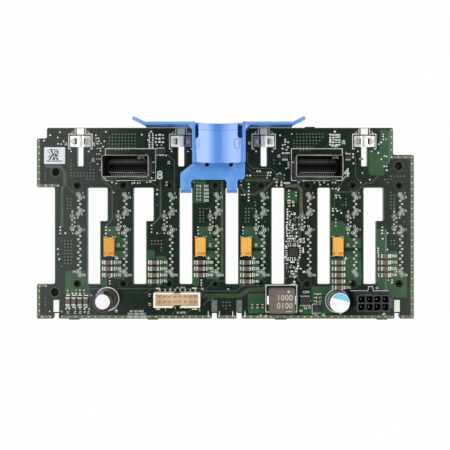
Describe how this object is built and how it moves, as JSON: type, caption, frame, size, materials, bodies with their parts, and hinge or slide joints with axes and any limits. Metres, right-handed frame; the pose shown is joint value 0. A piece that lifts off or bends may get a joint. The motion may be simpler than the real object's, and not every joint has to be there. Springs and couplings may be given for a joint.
{
  "type": "drive backplane board",
  "caption": "Circuit board that joins a row of disk drives to data and power cables, with vents between the drive columns and a moulded pull handle.",
  "frame": {"origin": "on the plane of the drive sockets' mating faces, under the middle of the whole part", "axes": "+X across the drive columns, +Y towards the handle edge, +Z from the drive side to the cable side"},
  "size_m": [0.149, 0.079, 0.022],
  "materials": {
    "board": "satin solder mask",
    "blue_plastic": "moulded",
    "paper": "matt",
    "black_plastic": "moulded",
    "grey_plastic": "moulded",
    "cream_plastic": "moulded",
    "contact_metal": "gold flash",
    "tin": "tin plated",
    "shell_metal": "nickel plated",
    "aluminium": "drawn",
    "sleeve": "shrunk sleeve",
    "rubber": "matt",
    "ferrite": "pressed powder",
    "tantalum": "moulded",
    "ceramic": "fired",
    "dark_ceramic": "moulded"
  },
  "bodies": {
    "root": {"cable_socket_contacts_a": "contact_metal", "cable_socket_contacts_b": "contact_metal", "cable_socket_insert_a": "black_plastic", "cable_socket_insert_b": "black_plastic", "cable_socket_shell_a": "shell_metal", "cable_socket_shell_b": "shell_metal", "circuit_board": "board", "controller": "dark_ceramic", "drive_socket_1": "black_plastic", "drive_socket_2": "black_plastic", "drive_socket_3": "black_plastic", "drive_socket_4": "black_plastic", "drive_socket_5": "black_plastic", "drive_socket_6": "black_plastic", "drive_socket_7": "black_plastic", "drive_socket_8": "black_plastic", "drive_socket_contacts_1": "contact_metal", "drive_socket_contacts_2": "contact_metal", "drive_socket_contacts_3": "contact_metal", "drive_socket_contacts_4": "contact_metal", "drive_socket_contacts_5": "contact_metal", "drive_socket_contacts_6": "contact_metal", "drive_socket_contacts_7": "contact_metal", "drive_socket_contacts_8": "contact_metal", "electrolytic_bung": "rubber", "electrolytic_can": "aluminium", "electrolytic_sleeve": "sleeve", "ground_pads": "tin", "grounding_clip_1": "tin", "grounding_clip_2": "tin", "grounding_clip_3": "tin", "grounding_clip_4": "tin", "inductor_core": "ferrite", "inductor_terminals": "tin", "label": "paper", "large_chip_bodies": "ceramic", "large_chip_ends": "tin", "package_bodies": "dark_ceramic", "package_leads": "tin", "polymer_bung": "rubber", "polymer_can": "aluminium", "power_socket": "grey_plastic", "power_socket_pins": "tin", "pull_handle": "blue_plastic", "signal_header": "cream_plastic", "signal_header_pins": "tin", "small_chip_bodies": "dark_ceramic", "small_chip_ends": "tin", "spacer_1": "black_plastic", "spacer_2": "black_plastic", "spacer_3": "black_plastic", "tantalum_capacitor_1": "tantalum", "tantalum_capacitor_2": "tantalum", "tantalum_capacitor_3": "tantalum", "tantalum_capacitor_4": "tantalum", "tantalum_terminals": "tin"}
  },
  "joints": []
}
